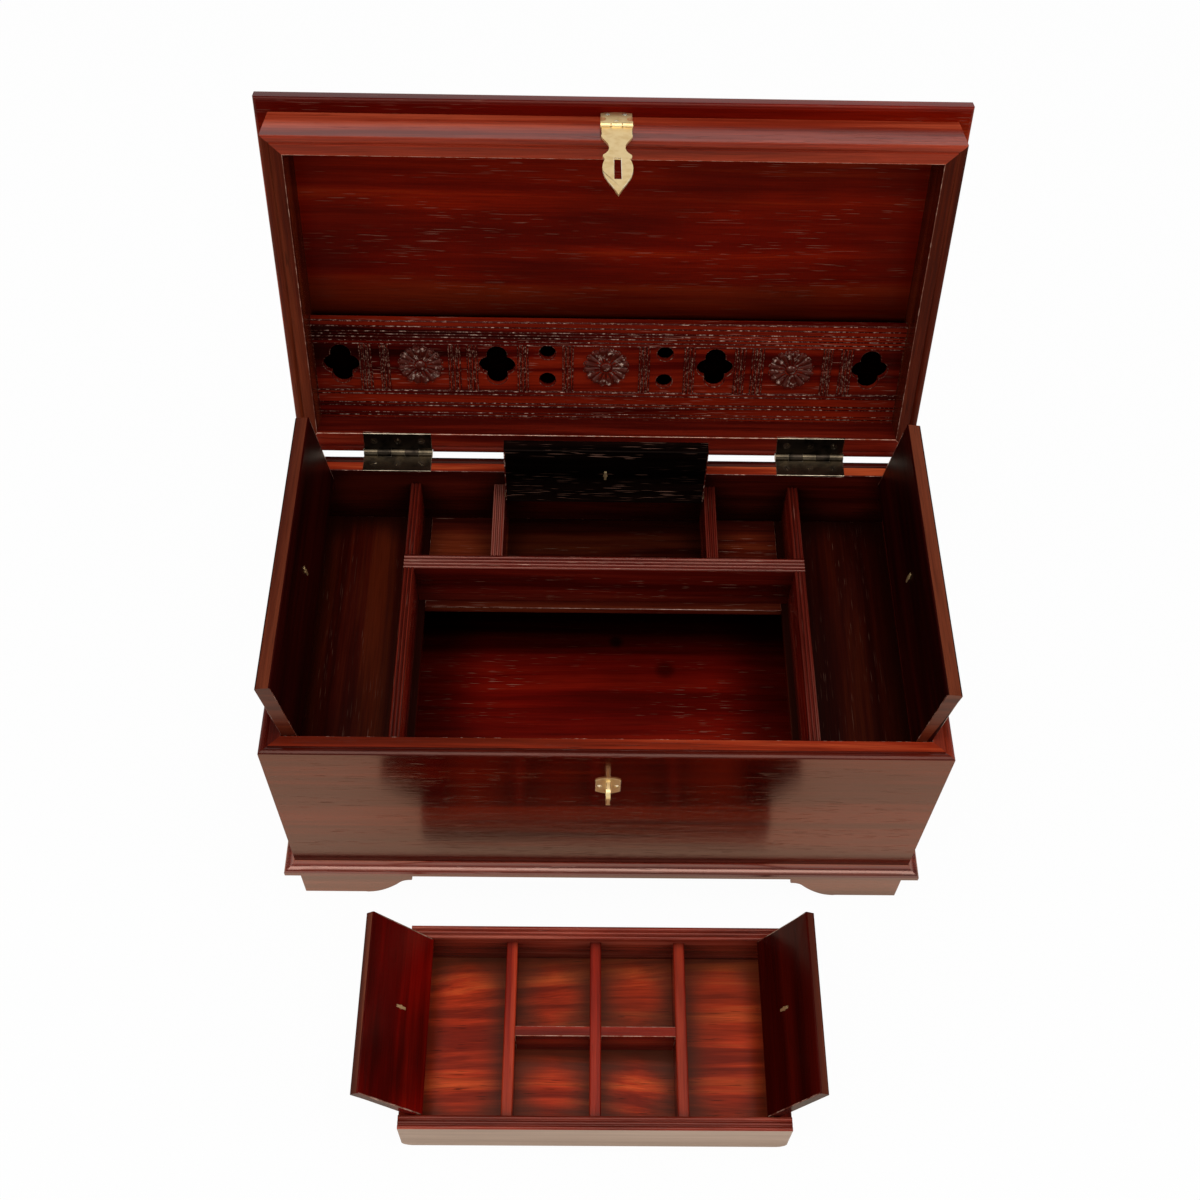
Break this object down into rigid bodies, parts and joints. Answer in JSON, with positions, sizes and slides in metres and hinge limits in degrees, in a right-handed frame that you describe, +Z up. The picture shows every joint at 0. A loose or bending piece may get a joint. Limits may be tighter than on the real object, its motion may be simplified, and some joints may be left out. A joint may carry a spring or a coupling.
{
  "type": "stationery box",
  "caption": "Hardwood stationery box on bracket feet, with a hinged lid holding a carved letter rack, tills under hinged flaps, a hasp and staple, and a loose tray.",
  "frame": {"origin": "centre of the whole arrangement's bounding box in plan, on the ground", "axes": "+X to the right seen from the front, +Y to the back, +Z up"},
  "size_m": [0.4758, 0.5504, 0.4965],
  "materials": {
    "polished_hardwood": "dark red-brown hardwood under a glossy lacquer",
    "tray_floor_wood": "lighter orange-red hardwood under lacquer",
    "well_floor_wood": "dark red hardwood under lacquer",
    "satin_brass": "pale satin brass",
    "dark_brass": "dark aged brass",
    "pin_brass": "plain brass rod"
  },
  "bodies": {
    "case": {"case_front": "polished_hardwood", "case_back": "polished_hardwood", "case_left_side": "polished_hardwood", "case_right_side": "polished_hardwood", "case_bottom": "well_floor_wood", "base_moulding": "polished_hardwood", "front_left_foot": "polished_hardwood", "front_right_foot": "polished_hardwood", "back_left_foot": "polished_hardwood", "back_right_foot": "polished_hardwood", "left_compartment_floor": "polished_hardwood", "right_compartment_floor": "polished_hardwood", "till_floor": "polished_hardwood", "left_long_divider": "polished_hardwood", "right_long_divider": "polished_hardwood", "cross_divider": "polished_hardwood", "left_short_divider": "polished_hardwood", "right_short_divider": "polished_hardwood", "side_flap_pins": "pin_brass", "centre_flap_pins": "pin_brass", "left_hinge_case_leaf": "dark_brass", "right_hinge_case_leaf": "dark_brass", "lid_hinge_pins": "dark_brass", "case_hinge_screws": "dark_brass", "staple_plate": "satin_brass", "staple_loop": "satin_brass", "staple_screws": "satin_brass"},
    "lid": {"lid_front_rail": "polished_hardwood", "lid_back_rail": "polished_hardwood", "lid_left_rail": "polished_hardwood", "lid_right_rail": "polished_hardwood", "lid_top_board": "polished_hardwood", "letter_rack": "polished_hardwood", "left_hinge_lid_leaf": "dark_brass", "right_hinge_lid_leaf": "dark_brass", "lid_hinge_screws": "dark_brass", "hasp_plate": "satin_brass", "hasp_pin": "satin_brass", "hasp_rivets": "satin_brass"},
    "hasp_leaf": {"hasp_leaf": "satin_brass"},
    "left_flap": {"left_flap": "polished_hardwood", "left_flap_pull": "satin_brass"},
    "right_flap": {"right_flap": "polished_hardwood", "right_flap_pull": "satin_brass"},
    "centre_flap": {"centre_flap": "polished_hardwood", "centre_flap_pull": "satin_brass"},
    "tray": {"tray_front": "polished_hardwood", "tray_back": "polished_hardwood", "tray_left_end": "polished_hardwood", "tray_right_end": "polished_hardwood", "tray_floor": "tray_floor_wood", "tray_dividers": "polished_hardwood", "tray_cross_dividers": "polished_hardwood", "tray_flap_pins": "pin_brass"},
    "tray_left_flap": {"tray_left_flap": "polished_hardwood", "tray_left_flap_pull": "satin_brass"},
    "tray_right_flap": {"tray_right_flap": "polished_hardwood", "tray_right_flap_pull": "satin_brass"}
  },
  "joints": [
    {"name": "lid_hinge", "type": "hinge", "parent": "case", "child": "lid", "pos_m": [0, 0.16494, 0.22845], "axis": [1, 0, 0], "range_deg": [0, 104.3]},
    {"name": "left_flap_hinge", "type": "hinge", "parent": "case", "child": "left_flap", "pos_m": [-0.2087, 0.03687, 0.2188], "axis": [0, 1, 0], "range_deg": [0, 97.25]},
    {"name": "right_flap_hinge", "type": "hinge", "parent": "case", "child": "right_flap", "pos_m": [0.2087, 0.03687, 0.2188], "axis": [0, -1, 0], "range_deg": [0, 97.25]},
    {"name": "centre_flap_hinge", "type": "hinge", "parent": "case", "child": "centre_flap", "pos_m": [-0.0014, 0.14192, 0.2085], "axis": [1, 0, 0], "range_deg": [0, 90]},
    {"name": "hasp_hinge", "type": "hinge", "parent": "lid", "child": "hasp_leaf", "pos_m": [0.0012, 0.24258, 0.47251], "axis": [-1, 0, 0], "range_deg": [0, 130]},
    {"name": "tray_lift", "type": "slide", "parent": "case", "child": "tray", "axis": [0, 0, 1], "range_m": [0, 0.2]},
    {"name": "tray_left_flap_hinge", "type": "hinge", "parent": "tray", "child": "tray_left_flap", "pos_m": [-0.12675, -0.20318, 0.0399], "axis": [0, 1, 0], "range_deg": [0, 126]},
    {"name": "tray_right_flap_hinge", "type": "hinge", "parent": "tray", "child": "tray_right_flap", "pos_m": [0.11745, -0.20318, 0.0399], "axis": [0, -1, 0], "range_deg": [0, 116]}
  ],
  "couplings": [
    {"joint": "left_flap_hinge", "follows": "lid_hinge", "ratio": 0.93245},
    {"joint": "right_flap_hinge", "follows": "lid_hinge", "ratio": 0.93245},
    {"joint": "centre_flap_hinge", "follows": "lid_hinge", "ratio": 0.86289}
  ]
}
